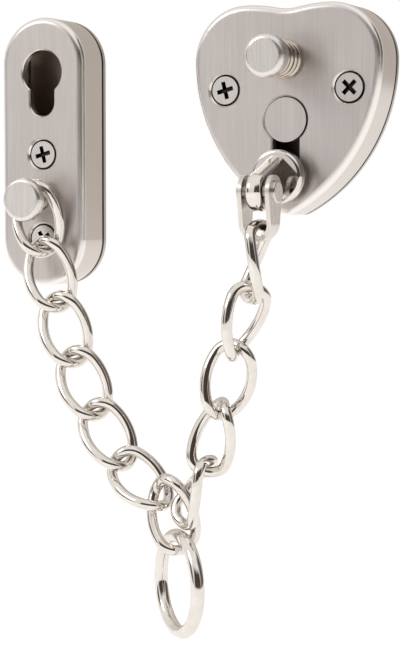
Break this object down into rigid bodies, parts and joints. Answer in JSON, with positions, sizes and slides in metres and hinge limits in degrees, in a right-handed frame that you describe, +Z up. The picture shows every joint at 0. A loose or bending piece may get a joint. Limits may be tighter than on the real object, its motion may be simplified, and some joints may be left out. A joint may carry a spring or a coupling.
{
  "type": "door chain",
  "caption": "Door chain with a slotted keeper plate, a heart-shaped lock plate with a spring button, a sliding bolt on a shackle and a twisted-link chain with a hook ring.",
  "frame": {"origin": "on the wall plane, halfway between the two screws of the heart plate", "axes": "+Z up, +Y into the wall, so the plates face -Y and the keeper lies on the -X side"},
  "size_m": [0.0961, 0.046, 0.1432],
  "materials": {
    "brushed": "brushed along Z",
    "satin": "satin",
    "polished": "polished nickel"
  },
  "bodies": {
    "root": {"keeper_cover": "brushed", "keeper_back_plate": "brushed", "heart_cover": "brushed", "heart_back_plate": "brushed", "chain_post": "satin", "keeper_screw_upper": "satin", "keeper_screw_lower": "satin", "heart_screw_left": "satin", "heart_screw_right": "satin", "button_spring": "polished"},
    "button": {"release_button": "satin", "latch_plate": "satin", "blocking_plug": "satin"},
    "bolt": {"slide_bolt": "polished"},
    "shackle": {"shackle": "satin", "shackle_rivet": "satin"},
    "link_01": {"chain_link_01": "polished"},
    "link_02": {"chain_link_02": "polished"},
    "link_03": {"chain_link_03": "polished"},
    "link_04": {"chain_link_04": "polished"},
    "link_05": {"chain_link_05": "polished"},
    "link_06": {"chain_link_06": "polished"},
    "link_07": {"chain_link_07": "polished"},
    "link_08": {"chain_link_08": "polished"},
    "link_09": {"chain_link_09": "polished"},
    "link_10": {"chain_link_10": "polished"},
    "link_11": {"chain_link_11": "polished"},
    "link_12": {"chain_link_12": "polished"},
    "ring": {"hook_ring": "polished"}
  },
  "joints": [
    {"name": "button_press", "type": "slide", "parent": "root", "child": "button", "axis": [0, 1, 0], "range_m": [0, 0.0046], "stiffness_N_per_m": 500, "springref_m": -0.004, "deforming": ["button_spring"]},
    {"name": "bolt_lift", "type": "slide", "parent": "root", "child": "bolt", "axis": [0, 0, 1], "range_m": [0, 0.0019]},
    {"name": "chain_swing", "type": "hinge", "parent": "root", "child": "link_02", "pos_m": [0, -0.0266, -0.0231], "axis": [0.9656, -0.1568, 0.2073], "range_deg": [-12, 5]},
    {"name": "shackle_swing", "type": "hinge", "parent": "bolt", "child": "shackle", "pos_m": [0, -0.0266, -0.0231], "axis": [1, 0, 0], "range_deg": [-12, 5]},
    {"name": "chain_lift", "type": "hinge", "parent": "link_02", "child": "link_03", "pos_m": [-0.05552, -0.01759, -0.04884], "axis": [-0.1602, -0.9871, 0], "range_deg": [0, 2.01]},
    {"name": "link_01_roll", "type": "hinge", "parent": "root", "child": "link_01", "pos_m": [-0.06119, -0.01655, -0.02929], "axis": [-0.2076, 0.0512, 0.9769], "range_deg": [-4, 4]},
    {"name": "link_04_roll", "type": "hinge", "parent": "link_03", "child": "link_04", "pos_m": [-0.04773, -0.01885, -0.06761], "axis": [-0.4553, 0.0739, 0.8873], "range_deg": [-4, 4]},
    {"name": "link_05_roll", "type": "hinge", "parent": "link_03", "child": "link_05", "pos_m": [-0.04084, -0.01997, -0.07925], "axis": [-0.5586, 0.0907, 0.8244], "range_deg": [-4, 4]},
    {"name": "link_06_roll", "type": "hinge", "parent": "link_03", "child": "link_06", "pos_m": [-0.03179, -0.02144, -0.08909], "axis": [-0.7722, 0.1253, 0.6229], "range_deg": [-2, 4]},
    {"name": "link_07_swing", "type": "hinge", "parent": "link_03", "child": "link_07", "pos_m": [-0.02328, -0.02282, -0.09473], "axis": [0.9087, -0.1475, -0.3905], "range_deg": [-2, 6]},
    {"name": "link_08_roll", "type": "hinge", "parent": "link_03", "child": "link_08", "pos_m": [-0.01687, -0.02386, -0.09013], "axis": [0.4645, -0.0754, 0.8824], "range_deg": [-4, 1.5]},
    {"name": "link_09_roll", "type": "hinge", "parent": "link_03", "child": "link_09", "pos_m": [-0.01162, -0.02471, -0.07766], "axis": [0.3062, -0.0497, 0.9507], "range_deg": [-4, 4]},
    {"name": "link_10_roll", "type": "hinge", "parent": "link_03", "child": "link_10", "pos_m": [-0.00791, -0.02532, -0.0646], "axis": [0.24, -0.039, 0.97], "range_deg": [-4, 4]},
    {"name": "link_11_roll", "type": "hinge", "parent": "link_03", "child": "link_11", "pos_m": [-0.0042, -0.02592, -0.05154], "axis": [0.3062, -0.0497, 0.9507], "range_deg": [-4, 4]},
    {"name": "link_12_roll", "type": "hinge", "parent": "link_03", "child": "link_12", "pos_m": [-0.00106, -0.02643, -0.03836], "axis": [0.1556, -0.0253, 0.9875], "range_deg": [-4, 4]},
    {"name": "ring_swing", "type": "hinge", "parent": "link_07", "child": "ring", "pos_m": [-0.0207, -0.02324, -0.10386], "axis": [0.6439, 0.7507, 0.1478], "range_deg": [-11, 22]}
  ],
  "couplings": [
    {"joint": "shackle_swing", "follows": "chain_swing", "ratio": 1},
    {"joint": "chain_lift", "follows": "bolt_lift", "rad_per_m": 18.489}
  ]
}
